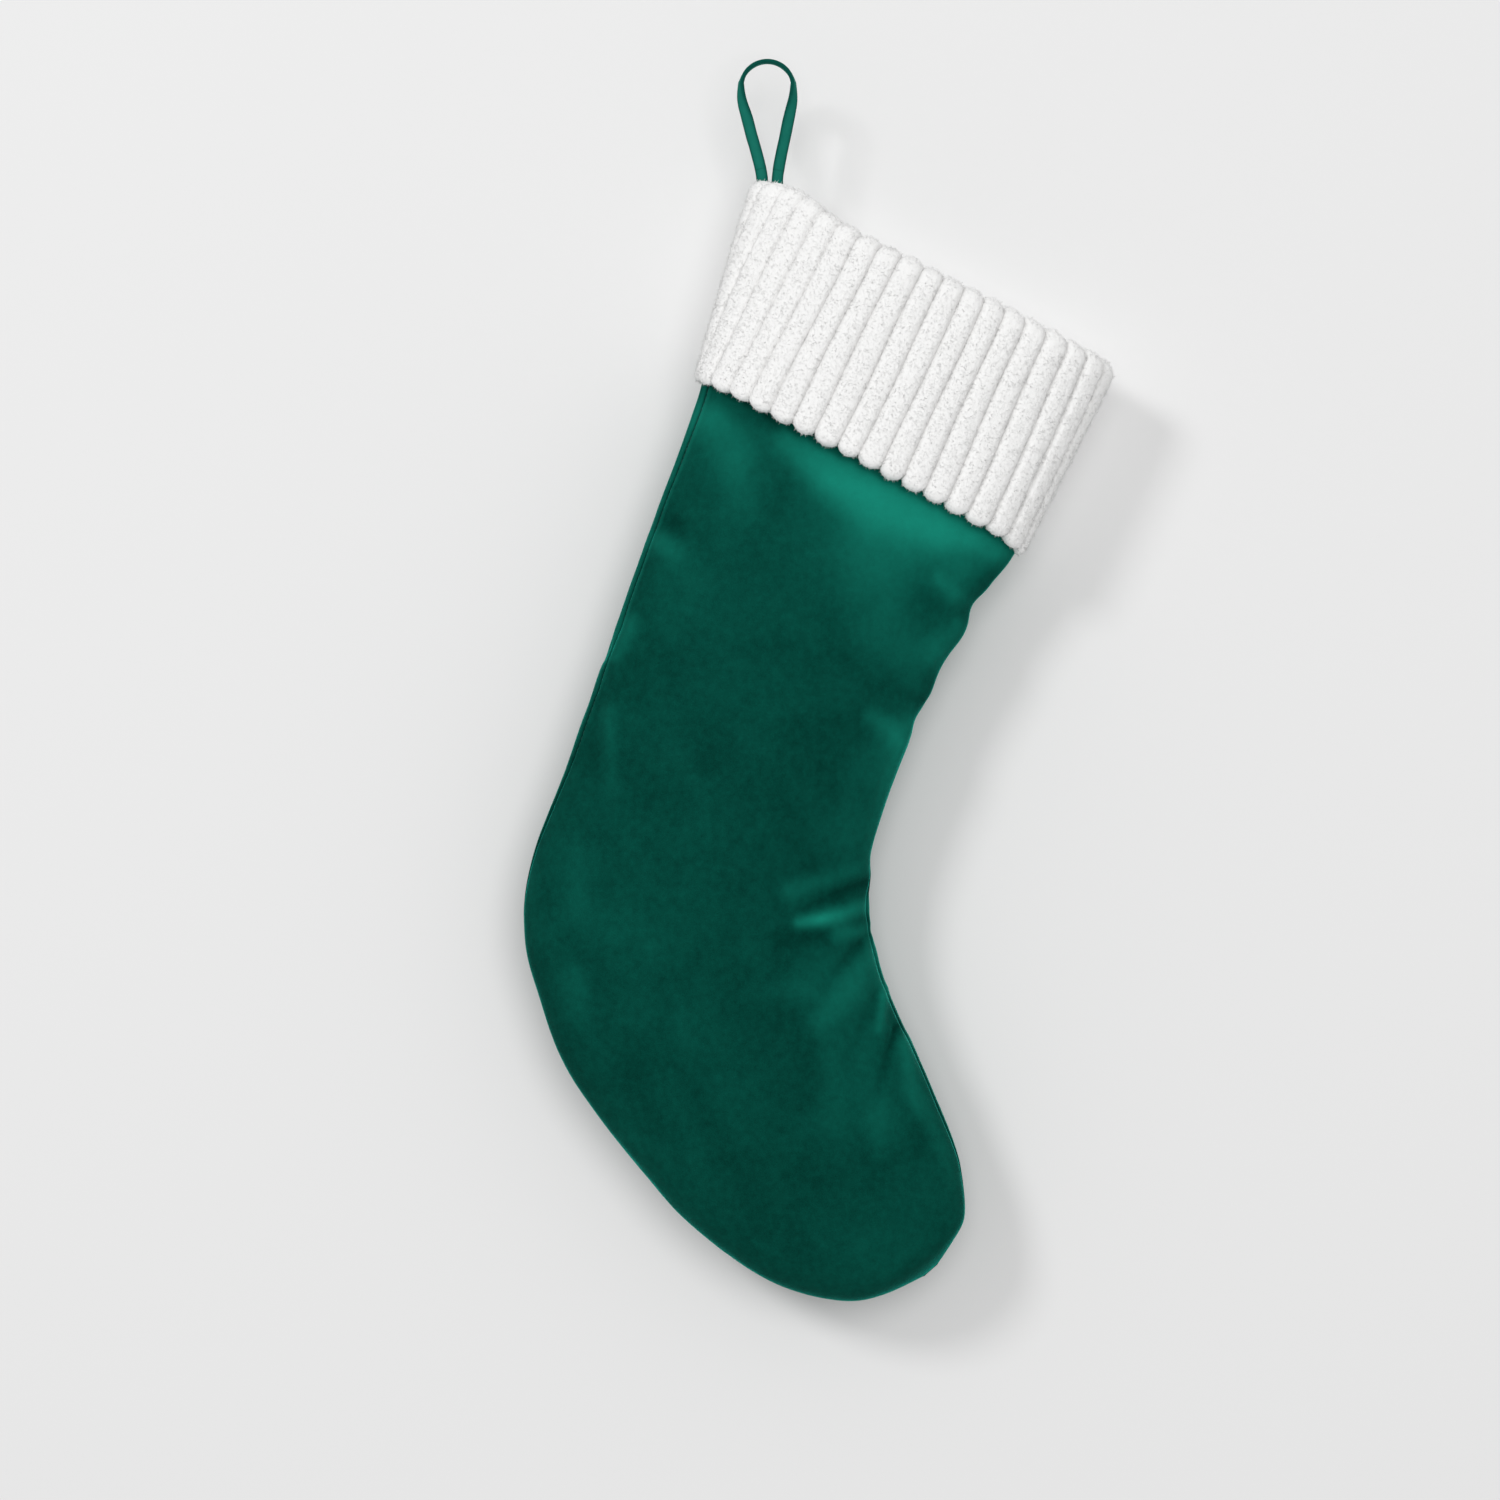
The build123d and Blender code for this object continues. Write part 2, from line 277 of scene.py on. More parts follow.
def shell_grids(rows, width_inset=0.0, depth_inset=0.0):
    """Front and back grids of points over half-ellipse rows, with even steps of arc across them."""
    fine = np.linspace(math.pi, 0, 400)
    grids = []
    for side in (-1, 1):
        grid = []
        for *ends, depth in rows:
            middle, across, _, half = section(*ends)
            half, deep = max(half - width_inset, 1.0), max(depth - depth_inset, 0.5)
            steps = np.hypot(np.diff(half * np.cos(fine)), np.diff(deep * np.sin(fine)))
            arc = np.concatenate([[0], np.cumsum(steps)])
            a = np.interp(np.linspace(0, arc[-1], ACROSS + 1), arc, fine)[:, None]
            grid.append(middle + across * half * np.cos(a) + np.array([0, side * deep, 0]) * np.sin(a))
        grids.append(np.array(grid))
    return grids


def flat_pattern(grid):
    """The cut of one panel: its grid laid into the seam plane at nearly its own lengths."""
    flat = grid[:, :, [0, 2]].copy()
    one, low, high = slice(None), slice(None, -1), slice(1, None)
    pairs = [((high, one), (low, one)), ((one, high), (one, low))]
    pairs += [((high, high), (low, low)), ((high, low), (low, high))]
    lengths = [np.linalg.norm(grid[a] - grid[b], axis=-1) for a, b in pairs]
    for _ in range(1200):
        push = np.zeros_like(flat)
        for (a, b), length in zip(pairs, lengths):
            d = flat[a] - flat[b]
            now = np.maximum(np.linalg.norm(d, axis=-1), 1e-9)
            move = (0.5 * (now - length) / now)[..., None] * d
            push[a] -= move
            push[b] += move
        flat += push * 0.22
    return flat


def inflate(front, back, flat):
    """Both panels sewn round the edge, blown up a little by cloth simulation from their flat cut."""
    rows, cols = front.shape[:2]
    index_front = np.arange(rows * cols).reshape(rows, cols)
    index_back = np.full((rows, cols), -1)
    for shared in (np.s_[:, 0], np.s_[:, -1], np.s_[-1]):
        index_back[shared] = index_front[shared]
    free = index_back < 0
    index_back[free] = rows * cols + np.arange(free.sum())
    points, cut = np.zeros((index_back.max() + 1, 3)), np.zeros((index_back.max() + 1, 3))
    faces = []
    for index, grid, flip in ((index_back, back, True), (index_front, front, False)):
        points[index.ravel()] = grid.reshape(-1, 3)
        cut[index.ravel()] = np.stack([flat[..., 0], 0 * flat[..., 0], flat[..., 1]], -1).reshape(-1, 3)
        faces += [tuple(int(index.ravel()[i]) for i in f) for f in grid_faces(rows, cols, flip)]
    obj = object_from("cloth", points, faces)
    obj.shape_key_add(name="Basis")
    key = obj.shape_key_add(name="cut")
    key.data.foreach_set("co", (cut * MM).astype(np.float32).ravel())
    pin = obj.vertex_groups.new(name="pin")
    for r, weight in enumerate([1.0] * 7 + [0.8, 0.5, 0.3, 0.15, 0.05]):
        pin.add([int(i) for i in np.concatenate([index_front[r], index_back[r]])], weight, "REPLACE")
    cloth = obj.modifiers.new("cloth", "CLOTH")
    s = cloth.settings
    s.quality, s.mass = 8, SIMULATED["mass"]
    s.tension_stiffness = s.compression_stiffness = SIMULATED["tension"]
    s.shear_stiffness, s.bending_stiffness = SIMULATED["shear"], SIMULATED["bending"]
    s.bending_damping, s.air_damping = 2.0, 4.0
    s.vertex_group_mass, s.rest_shape_key = "pin", key
    s.use_pressure, s.uniform_pressure_force = True, SIMULATED["pressure"]
    s.effector_weights.gravity = SIMULATED["gravity"]
    cloth.collision_settings.use_collision = False
    cloth.point_cache.frame_start, cloth.point_cache.frame_end = 1, SIMULATED_FRAMES
    for number in range(1, SIMULATED_FRAMES + 1):
        bpy.context.scene.frame_set(number)
    done = obj.evaluated_get(bpy.context.evaluated_depsgraph_get()).data
    co = np.zeros(len(points) * 3, np.float32)
    done.vertices.foreach_get("co", co)
    bpy.data.objects.remove(obj)
    bpy.context.scene.frame_set(1)
    co = co.reshape(-1, 3).astype(float) / MM
    return co[index_front], co[index_back]


def back_to_outline(grids, plains, outline):
    """The simulated rows, their seams back on the outline but for small waves, and plain rows at the toe."""
    out = []
    share = np.linspace(0, 1, ACROSS + 1)[None, :, None]
    rows = np.arange(len(outline))
    loose = np.clip((len(rows) - 4 - rows) / 14, 0, 1)[:, None, None]
    for grid, plain in zip(grids, plains):
        left = blurred((outline[:, 0] - grid[:, 0]), 1.6)[:, None]
        right = blurred((outline[:, -1] - grid[:, -1]), 1.6)[:, None]
        grid = grid + left * (1 - share) + right * share
        grid[..., 1] *= MOST_DEPTH / max(np.abs(grid[..., 1]).max(), MOST_DEPTH)
        out.append(plain + (grid - plain) * loose)
    return out


def slide_seam(front, back):
    """Slides the seams a little round to the front, as it hangs: behind the calf and on the instep."""
    for r in range(len(front)):
        heel_side, toe_side = front[r, 0, 2], front[r, -1, 2]
        slide = 8.0 * np.clip((heel_side + 450) / 110, 0, 1)
        counter = 5.5 * np.clip((-405 - toe_side) / 25, 0, 1) * np.clip((toe_side + 590) / 50, 0, 1)
        loop = np.concatenate([front[r], back[r, -2:0:-1]])
        loop = np.concatenate([loop, loop[:1]])
        along = distances(loop)
        turn = 0.5 + 0.5 * np.cos(2 * math.pi * along / along[-1])
        at = (along + slide * turn - counter * (1 - turn)) % along[-1]
        moved = taken_at(loop, along, at)
        front[r] = moved[:ACROSS + 1]
        back[r, 0], back[r, -1] = moved[0], moved[ACROSS]
        back[r, -2:0:-1] = moved[ACROSS + 1:-1]
    return front, back


def stroke_values(x, z):
    """(height, nap with painted light and shade) of all the strokes at each point."""
    height, nap_and_painted_light = np.zeros(x.shape), np.zeros(x.shape)
    for stroke in STROKES:
        best = np.full(x.shape, 1e9)
        tall, lift = np.zeros(x.shape), np.zeros(x.shape)
        for a, b in zip(stroke, stroke[1:] or stroke):
            (x0, z0, *start), (x1, z1, *end) = a, b
            dx, dz = x1 - x0, z1 - z0
            t = np.clip(((x - x0) * dx + (z - z0) * dz) / max(dx * dx + dz * dz, 1e-9), 0, 1)
            wide, up, light = (p + (q - p) * t for p, q in zip(start, end))
            away = np.hypot(x - x0 - dx * t, z - z0 - dz * t) / wide
            nearer = away < best
            best = np.where(nearer, away, best)
            tall, lift = np.where(nearer, up, tall), np.where(nearer, light, lift)
        bell = np.exp(-best ** 2.2)
        height += tall * bell
        nap_and_painted_light += lift * bell
    return height, nap_and_painted_light


def fold_heights(grid, share):
    """How far each point stands out for the strokes and a little unevenness."""
    points = grid.reshape(-1, 3)
    rough = 0.8 * wander(points, 62.0, 1) + 0.35 * wander(points, 24.0, 2) + 0.05 * wander(points, 5.0, 3)
    return share * stroke_values(grid[..., 0], grid[..., 2])[0] + rough.reshape(grid.shape[:2])


def make_shell():
    """Front and back velvet panels as fine grids of points, and the cut's flat size."""
    rows = even(smooth_line(LEG_ROWS, 24), ROW_SPACING, row_middles)
    front, back = shell_grids(rows)
    flat = flat_pattern(front)
    front, back = back_to_outline(inflate(front, back, flat), (front, back), front)
    front, back = slide_seam(front, back)
    fine = []
    for grid, sign, share in ((front, 1, 1.0), (back, -1, 0.5)):
        grid = smooth_line(grid, FINER)
        grid = smooth_line(grid.transpose(1, 0, 2), FINER).transpose(1, 0, 2)
        edge = np.minimum(np.arange(grid.shape[1]), np.arange(grid.shape[1])[::-1]) * ROW_SPACING / FINER
        inward = unit(grid[:, :1] - grid[:, -1:])
        wave = sum(out * np.exp(-((grid[:, -1, 2] - z) / reach) ** 2) for z, out, reach in EDGE_WAVES)
        near = np.exp(-(np.arange(grid.shape[1])[::-1] * ROW_SPACING / FINER / 16) ** 2)
        grid = grid - inward * (wave[:, None] * near[None, :])[..., None]
        normals = normals_of(grid, sign)
        # the seam line itself hardly moves, so that the two panels stay joined
        at_seam = np.exp(-(edge / 6.0) ** 2)[None, :]
        height = fold_heights(grid, 0.15) * at_seam + fold_heights(grid, share) * (1 - at_seam)
        grid = grid + normals * height[..., None]
        fine.append(grid)
    seam = (fine[0][:, [0, -1]] + fine[1][:, [0, -1]]) / 2
    toe = (fine[0][-1] + fine[1][-1]) / 2
    outward = unit(normals_of(fine[0], 1)[:, [0, -1]] + normals_of(fine[1], -1)[:, [0, -1]])
    outward[-4:] = outward[-5]
    for grid in fine:
        grid[:, [0, -1]] = seam - outward * SEAM_DIP
        grid[-1] = toe
    return fine, seam - outward * (SEAM_DIP - 0.1), flat


# --------------------------------------------------------------------------------------------------
# Ribbed plush cuff

RIBS = 38
PER_RIB = 24          # points across a rib
RIB_HEIGHT = 3.3
HEM_RIBS = 1.4        # how much taller the ribs stand where they turn under the hem
ROUNDNESS = 2.35      # of the cuff's section: 2 is an ellipse
CORNER_LIFT = 6.5
HEM_LIFT = 3.8
TUFTS = 48000
TUFT_LENGTH = (0.9, 2.0)
TUFT_THICK = 0.26
TUFT_ROOT = 0.3       # how deep a tuft starts under the plush


def cuff_profile():
    """The band from inside the mouth to under its hem: (distance below the top, inset, way ribs stand)."""
    rim, hem = 4.2, 1.5
    outside, inward = 3.8, math.pi
    out = [(s, outside + 2 * rim, inward) for s in np.linspace(27, 6, 12)]
    for a in np.linspace(math.pi, 0, 17)[1:-1]:
        out.append((5.2 - rim * math.sin(a), outside + rim - rim * math.cos(a), a))
    out += [(s, outside, 0.0) for s in np.arange(6.5, CUFF_LENGTH - 4.6, 0.8)]
    for a in np.linspace(0, -math.pi, 13):
        out.append((CUFF_LENGTH - 4.4 - hem * math.sin(a), outside + hem - hem * math.cos(a), a))
    out += [(s, outside + 2 * hem, inward) for s in np.linspace(CUFF_LENGTH - 7, CUFF_LENGTH - 24, 7)]
    return out


def cuff_loop(share, inset):
    """Points round the cuff at a share of its height, from the heel-side seam round the front."""
    ends = [a + (b - a) * share for a, b in zip(CUFF_TOP, CUFF_HEM)]
    middle, across, up, half = section(*ends[:4])
    half, deep = half - inset, ends[4] - inset
    t = np.linspace(math.pi, -math.pi, 1441)
    power = 2 / ROUNDNESS
    flat = np.sign(np.cos(t)) * np.abs(np.cos(t)) ** power
    out = -np.sign(np.sin(t)) * np.abs(np.sin(t)) ** power
    points = middle + across * (half * flat)[:, None] + np.array([0, 1, 0]) * (deep * out)[:, None]
    return points, middle, across, up


def heel_side(phase):
    """1 at the rib at the cuff's heel side, and less to either side of it."""
    return np.exp(-(np.minimum(phase, RIBS - phase) / 5) ** 2)


def ribbed_band():
    """The cuff's grid of points, with ribs that lean towards the heel on the way down."""
    steps = RIBS * PER_RIB
    phase = np.arange(steps) / PER_RIB
    jitter = rng.normal(0, 0.045, RIBS + 1)
    jitter[-1] = jitter[0]
    width_shift = np.interp(phase, np.arange(RIBS + 1), jitter)
    tall = RIB_HEIGHT * (1 + rng.normal(0, 0.05, RIBS))[phase.astype(int)]
    fraction = phase % 1.0
    dome = np.clip(1 - np.abs(2 * fraction - 1) ** 2.8, 0, 1) ** 0.55
    arch = np.sqrt(np.clip(1 - (2 * fraction - 1) ** 2, 0, 1))
    tall = tall * (1 - 0.5 * heel_side(phase))
    grid = []
    for below, inset, lean in cuff_profile():
        share = below / CUFF_LENGTH
        points, middle, _, up = cuff_loop(share, inset)
        along = distances(points)
        total = along[-1]
        place = (phase + width_shift) / RIBS
        across_share = np.where(place < 0.5, place * 2, 2 - place * 2)
        drift = (20.0 - 24.0 * across_share) * share
        wobble = 0.35 * np.sin(place * 40 + below * 0.06) * min(1.0, below / 20)
        at = (place * total - drift + wobble) % total
        base = taken_at(points, along, at)
        tangent = taken_at(points, along, (at + 1.0) % total) - base
        outward = unit(np.cross(up, unit(tangent)))
        if (outward * (base - middle)).sum() < 0:
            outward = -outward
        stand = outward * math.cos(lean) + up * math.sin(lean)
        turned = arch * (HEM_RIBS if lean < 0 else 1.0)
        height = tall * (dome * math.cos(lean) ** 2 + turned * math.sin(lean) ** 2)
        grid.append(base + stand * height[:, None])
    return np.array(grid)


def shape_cuff(grid):
    """Lifts the heel-side corner towards the strap, lets the cuff sag unevenly and roughens its pile."""
    flat = grid.reshape(-1, 3)
    middle, across, up, half = section(*CUFF_TOP[:4])
    u = (flat - middle) @ across
    v = (flat - middle) @ up
    corner = np.exp(-((u + half - 24) / 26) ** 2) * np.clip(1 + v / 45, 0, 1)
    below = np.array([row[0] for row in cuff_profile()]) / CUFF_LENGTH
    inboard = 1 - np.exp(-((half - np.abs(u)) / np.where(u < 0, 15, 7)) ** 2)
    hem = np.repeat(np.clip(below, 0, 1) ** 2, grid.shape[1]) * inboard
    flat = flat + up * (CORNER_LIFT * corner + HEM_LIFT * hem)[:, None]
    ripple = 0.9 * wander(flat, 48.0, 4)
    outward = np.stack([0 * ripple, np.sign(flat[:, 1]), 0 * ripple], 1)
    flat = flat + outward * ripple[:, None]
    grid = flat.reshape(grid.shape)
    normals = normals_of(grid, 1.0).reshape(-1, 3)
    pile = 0.16 * wander(flat, 4.0, 5) + 0.26 * wander(flat, 1.6, 6) + 0.26 * wander(flat, 0.9, 7)
    return (flat + normals * pile[:, None]).reshape(grid.shape)


# --------------------------------------------------------------------------------------------------
# Strap

STRAP_WIDTH, STRAP_THICK = 7.0, 2.3
STRAP_SIDES = 24
PEG_RADIUS = 12.7
STRAND_X = (-2.5, 5.2)
SPLIT_Z = -42.0       # where the loop's piece meets the sewn ends' piece, between the two joints
TAIL_END = -74.0
TACK_Z = (-66.0, -70.0)
# How far each strand has closed in from the peg's side to its sewn place: (share, z).
STRAND_RUN = [(0.05, -6.0), (0.30, -16.0), (0.53, -26.0), (0.78, -36.0), (0.97, -46.0), (1.0, -56.0)]


def strand_line(end_x, side):
    """One strand from the top of the peg to its sewn end: points of (x, z, turn in radians)."""
    radius = PEG_RADIUS + STRAP_THICK / 2
    marks = [(radius * math.cos(a) * side, radius * math.sin(a)) for a in np.radians(np.linspace(90, 8, 18))]
    reach = abs(end_x)
    marks += [(side * (radius - share * (radius - reach)), z) for share, z in STRAND_RUN]
    marks.append((end_x, TAIL_END))
    line = even(smooth_line(marks, 12), 0.9)
    swing = np.clip((12.0 - line[:, 1]) / 36.0, 0, 1)
    turn = side * math.radians(80) * (3 * swing ** 2 - 2 * swing ** 3)
    return np.column_stack([line, turn])


def strap_mesh(line, shrink=0.0):
    """(points, faces) of a velvet strap along a line: thick, with rounded and slightly raised edges."""
    tangent = np.gradient(line[:, :2], axis=0)
    tangent /= np.linalg.norm(tangent, axis=1)[:, None]
    middle = np.stack([line[:, 0], 0 * line[:, 0], line[:, 1]], 1)
    along = np.stack([tangent[:, 0], 0 * tangent[:, 0], tangent[:, 1]], 1)
    turn = line[:, 2][:, None]
    wide = np.array([0, 1, 0]) * np.cos(turn) + np.cross(along, [0, 1, 0]) * np.sin(turn)
    thick = np.cross(along, wide)
    narrow = 1 - 0.12 * np.abs(np.sin(turn))
    rings = []
    for a in np.linspace(0, 2 * math.pi, STRAP_SIDES, endpoint=False):
        w = np.sign(math.cos(a)) * abs(math.cos(a)) ** 0.55 * (STRAP_WIDTH / 2 - shrink)
        h = np.sign(math.sin(a)) * abs(math.sin(a)) ** 0.75 * (STRAP_THICK / 2 - shrink)
        edge = 1 + 0.10 * math.cos(a) ** 8
        rings.append(middle + wide * (w * narrow) + thick * h * edge)
    points = np.stack(rings, 1).reshape(-1, 3)
    points += 0.12 * wander(points, 6.0, 8)[:, None] * np.array([1, 0.4, 0.2])
    last = len(points) - 1
    faces = grid_faces(len(line), STRAP_SIDES, wrap=True)
    faces += [tuple(range(STRAP_SIDES)), tuple(range(last, last - STRAP_SIDES, -1))]
    return points, faces


# --------------------------------------------------------------------------------------------------
# Materials

class Look:
    """A material and its nodes, with short ways to add and join them."""

    def __init__(self, name):
        self.material = bpy.data.materials.new(name)
        self.material.use_nodes = True
        self.tree = self.material.node_tree
        self.tree.nodes.clear()
        self.output, self.shader = self.add("ShaderNodeOutputMaterial"), self.add("ShaderNodeBsdfPrincipled")
        self.link(self.shader.outputs[0], self.output.inputs[0])

    def add(self, kind, **values):
        node = self.tree.nodes.new(kind)
        for key, value in values.items():
            setattr(node, key, value)
        return node

    def link(self, source, target):
        self.tree.links.new(source, target)

    def place(self):
        """Where a point of the piece is, which the patterns follow."""
        return self.add("ShaderNodeTexCoord").outputs["Object"]

    def noise(self, where, scale, detail, rough):
        node = self.add("ShaderNodeTexNoise")
        node.inputs["Scale"].default_value = scale
        node.inputs["Detail"].default_value = detail
        node.inputs["Roughness"].default_value = rough
        self.link(where, node.inputs["Vector"])
        return node.outputs[0]

    def maths(self, operation, a, b):
        node = self.add("ShaderNodeMath", operation=operation)
        for socket, value in zip(node.inputs, (a, b)):
            if isinstance(value, (int, float)):
                socket.default_value = value
            else:
                self.link(value, socket)
        return node.outputs[0]

    def total(self, start, *parts):
        """A number plus parts, each (value, how much of it counts)."""
        for value, weight in parts:
            start = self.maths("ADD", start, self.maths("MULTIPLY", value, weight))
        return start

    def colour(self, factor, low, dark, high, light):
        """Base colour from dark at the low factor to light at the high one."""
        node = self.add("ShaderNodeValToRGB")
        self.link(factor, node.inputs[0])
        for element, at, colour in zip(node.color_ramp.elements, (low, high), (dark, light)):
            element.position, element.color = at, (*colour, 1)
        self.link(node.outputs[0], self.shader.inputs["Base Color"])

    def bump(self, height, distance, strength):
        node = self.add("ShaderNodeBump")
        node.inputs["Strength"].default_value = strength
        node.inputs["Distance"].default_value = distance
        self.link(height, node.inputs["Height"])
        self.link(node.outputs[0], self.shader.inputs["Normal"])

    def set(self, **values):
        """Numbers on the shader's own sockets, named with _ for a space."""
        for name, value in values.items():
            self.shader.inputs[name.replace("_", " ")].default_value = value


def velvet_material(name, dark, light, sheen, tint):
    """Velvet: a deep ground, lighter or darker by an attribute of brushed nap with painted light and shade,
    and a soft sheen at glancing angles.
    """
    look = Look(name)
    where = look.place()
    nap_and_painted_light = look.add("ShaderNodeAttribute", attribute_name="nap_and_painted_light").outputs["Fac"]
    clouds = look.noise(where, 38.0, 3.0, 0.55)
    streaks = look.noise(where, 240.0, 4.0, 0.6)
    pile = look.noise(where, 2600.0, 2.0, 0.7)
    # the noises are 0.5 on average, and -0.26 takes half of their weights off again
    lift = look.total(-0.26, (nap_and_painted_light, 1.0), (clouds, 0.14), (streaks, 0.16), (pile, 0.22))
    look.colour(lift, 0.0, dark, 1.0, light)
    look.link(look.total(0.72, (streaks, 0.2)), look.shader.inputs["Roughness"])
    look.set(Specular_IOR_Level=0.02, Sheen_Weight=sheen, Sheen_Roughness=0.25, Sheen_Tint=(*tint, 1))
    look.bump(look.total(0.0, (pile, 0.5), (streaks, 0.5)), 0.00035, 0.8)
    return look.material


def plush_material():
    """Short white plush: matt, with a fine uneven pile and painted shade in the grooves between its ribs."""
    look = Look("plush")
    where = look.place()
    tufts = look.noise(where, 900.0, 3.0, 0.65)
    fibres = look.noise(where, 2200.0, 2.0, 0.7)
    # painted shade: the plush darker in the grooves between the ribs
    painted_groove_shade = look.add("ShaderNodeAttribute", attribute_name="painted_groove_shade").outputs["Fac"]
    shade = look.total(0.0, (tufts, 0.42), (fibres, 0.16), (painted_groove_shade, -0.35))
    look.colour(shade, 0.0, (0.85, 0.845, 0.835), 0.4, (0.918, 0.918, 0.913))
    look.link(look.total(0.85, (tufts, 0.1)), look.shader.inputs["Roughness"])
    look.set(Specular_IOR_Level=0.1, Sheen_Weight=0.25, Sheen_Roughness=0.6)
    look.bump(look.total(0.0, (tufts, 0.6), (fibres, 0.4)), 0.0007, 1.0)
    return look.material


def woven_material(name, colour, scale):
    """Plain woven cloth or twisted thread: a fine weave over an even colour."""
    look = Look(name)
    where = look.place()
    turn = look.add("ShaderNodeMapping")
    turn.inputs["Rotation"].default_value = (0, math.radians(24), 0)
    look.link(where, turn.inputs["Vector"])
    threads = []
    for direction in ("X", "Z"):
        wave = look.add("ShaderNodeTexWave", bands_direction=direction)
        wave.inputs["Scale"].default_value = scale
        wave.inputs["Distortion"].default_value = 0.4
        look.link(turn.outputs[0], wave.inputs["Vector"])
        threads.append(wave.outputs["Fac"])
    weave = look.maths("MULTIPLY", *threads)
    shade = look.total(0.0, (weave, 0.4), (look.noise(where, 90.0, 3.0, 0.5), 0.6))
    look.colour(shade, 0.1, [c * 0.7 for c in colour], 0.8, [c * 1.25 for c in colour])
    look.set(Roughness=0.75, Specular_IOR_Level=0.3)
    look.bump(weave, 0.0001, 0.6)
    return look.material


def nap_and_painted_light_at(grid):
    """How light the velvet is painted at each point of a panel: the strokes' nap with their painted shade and
    highlights, soft streaks down the leg, lighter towards the cuff, a painted highlight beside the heel-side
    seam, and the seam line itself darker.
    """
    x, z = grid[..., 0], grid[..., 2]
    points = np.stack([x + 0.45 * z, grid[..., 1], z / 5], -1).reshape(-1, 3)
    streaks = wander(points, 16.0, 14).reshape(x.shape)
    nap_and_painted_light = 0.075 + 0.03 * np.clip((z + 330) / 120, 0, 1) + 0.022 * streaks + stroke_values(x, z)[1]
    # painted highlight: a thin lighter band beside the heel-side seam, above the ankle
    nap_and_painted_light[:, 1:3] += 0.10 * np.clip((z[:, 1:3] + 350) / 60, 0, 1)
    nap_and_painted_light[:, [0, -1]] -= 0.12
    return nap_and_painted_light


# --------------------------------------------------------------------------------------------------
# Pieces

def skin(name, outer, inner, flip):
    """A closed piece of cloth between an outer and an inner grid of the same size."""
    rows, cols = outer.shape[:2]
    count = rows * cols
    faces = grid_faces(rows, cols, flip)
    faces += [tuple(i + count for i in f[::-1]) for f in grid_faces(rows, cols, flip)]
    edge = list(range(cols)) + [r * cols + cols - 1 for r in range(1, rows)]
    edge += [(rows - 1) * cols + c for c in range(cols - 2, -1, -1)]
    edge += [r * cols for r in range(rows - 2, 0, -1)]
    for a, b in zip(edge, edge[1:] + edge[:1]):
        faces.append((a, b, b + count, a + count))
    points = np.concatenate([outer.reshape(-1, 3), inner.reshape(-1, 3)])
    return recalculated(object_from(name, points, faces))


def make_velvet():
    """The two velvet panels, and the seam's line of points on each side."""
    (front, back), seam, flat = make_shell()
    for name, grid, sign in (("velvet_panel_front", front, 1), ("velvet_panel_back", back, -1)):
        inner = grid - normals_of(grid, sign) * VELVET
        obj = skin(name, grid, inner, sign < 0)
        nap_and_painted_light = nap_and_painted_light_at(grid).ravel()
        float_attribute(obj, "nap_and_painted_light", np.concatenate([nap_and_painted_light, nap_and_painted_light]))
        obj.data.materials.append(velvet)
        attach(obj, "stocking")
    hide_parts("velvet_front")
    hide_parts("velvet_back")
    return seam


def make_stitches(name, lines, pitch, stitch, radius):
    """Short straight stitches along lines of points."""
    parts = []
    for line in lines:
        along = distances(line)
        for start in np.arange(pitch, along[-1] - pitch, pitch):
            p = taken_at(line, along, start + np.linspace(0, stitch, 4))
            tangent = (p[-1] - p[0]) / max(np.linalg.norm(p[-1] - p[0]), 1e-9)
            side = np.cross(tangent, [0, 1, 0.001])
            side /= np.linalg.norm(side)
            other = np.cross(tangent, side)
            thin = np.array([0.45, 1.0, 1.0, 0.45])[:, None] * radius
            turns = np.linspace(0, 2 * math.pi, 6, endpoint=False)
            rings = [p + thin * (math.cos(a) * side + math.sin(a) * other) for a in turns]
            faces = grid_faces(4, 6, wrap=True) + [tuple(range(6)), tuple(range(23, 17, -1))]
            parts.append((np.stack(rings, 1).reshape(-1, 3), faces))
    return recalculated(joined(name, parts))


def make_lining():
    """The lining: the shell again, a little smaller, with its top carried up inside the cuff."""
    top = CUFF_TOP
    rim = (top[0] + 8.5, top[1] - 11, top[2] - 12, top[3] - 2, top[4] - 9)
    mid = (-23.0, -94.0, 156.0, -184.0, 22.0)
    rows = even(smooth_line([rim, mid, *LEG_ROWS[1:-1]], 12), 6.0, row_middles)
    inset = np.interp(np.arange(len(rows)), [0, 4, 12, 24], [0.0, 2.5, 5.5, 6.5])
    below_rim = np.interp(np.arange(len(rows)), [0, 8], [0, 1])[:, None]
    grids = []
    for side, sign in enumerate((1, -1)):
        grid = np.array([shell_grids([row], amount, amount)[side][0] for row, amount in zip(rows, inset)])
        rise = wander(grid.reshape(-1, 3), 30.0, 11).reshape(grid.shape[:2]) - 0.8
        grids.append(grid + normals_of(grid, sign) * (rise * below_rim)[..., None])
    flat = flat_pattern(grids[0])
    for name, grid, sign in (("lining_panel_front", grids[0], 1), ("lining_panel_back", grids[1], -1)):
        obj = skin(name, grid, grid - normals_of(grid, sign) * LINING, sign < 0)
        obj.data.materials.append(lining)
        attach(obj, "stocking")
    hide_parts("lining_front", "lining_seam_thread")
    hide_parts("lining_back", "mouth_seam_thread")


